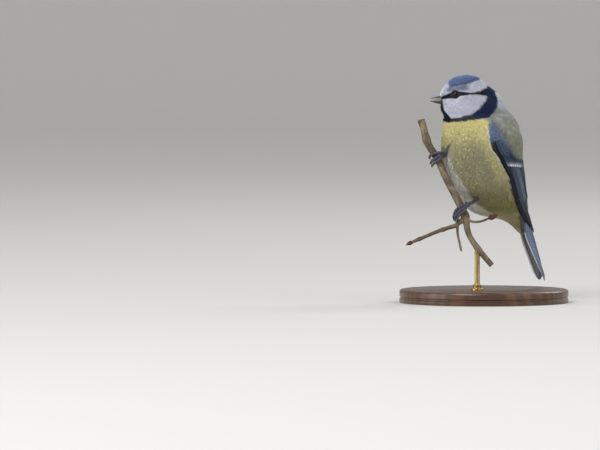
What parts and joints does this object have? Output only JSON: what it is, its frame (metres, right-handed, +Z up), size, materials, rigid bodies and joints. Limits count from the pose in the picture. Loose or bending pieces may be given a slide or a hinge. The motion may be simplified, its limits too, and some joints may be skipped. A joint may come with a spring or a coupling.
{
  "type": "blue tit model",
  "caption": "Life-size still model of a blue tit clinging upright to a short cut branch, on a small round display stand.",
  "frame": {"origin": "centre of the underside of the stand's base", "axes": "+Z up; the bill points along -X; the bird's breast faces between -X and -Y, and -Y is the side towards the viewer"},
  "size_m": [0.088, 0.088, 0.1185],
  "materials": {
    "head_plumage": "matte feathers, blue-capped and white-cheeked",
    "body_plumage": "matte feathers, yellow below and olive above",
    "flight_feathers": "smooth slate-blue vanes",
    "eye": "dark and glossy",
    "bill": "dark horn, softly glossy",
    "leg_skin": "slate-blue scaled skin",
    "claw": "dark horn",
    "branch": "rough bark",
    "stand_base": "dark satin varnish",
    "stand_rod": "satin"
  },
  "bodies": {
    "root": {"head": "head_plumage", "neck": "head_plumage", "torso": "body_plumage", "wing_left": "flight_feathers", "wing_right": "flight_feathers", "tail": "flight_feathers", "eye_left": "eye", "eye_right": "eye", "bill_upper": "bill", "bill_lower": "bill", "leg_left": "leg_skin", "leg_right": "leg_skin", "foot_left": "leg_skin", "foot_right": "leg_skin", "claw_left_1": "claw", "claw_left_2": "claw", "claw_left_3": "claw", "claw_left_4": "claw", "claw_right_1": "claw", "claw_right_2": "claw", "claw_right_3": "claw", "claw_right_4": "claw", "perch_branch": "branch", "stand_base": "stand_base", "stand_rod": "stand_rod"}
  },
  "joints": []
}
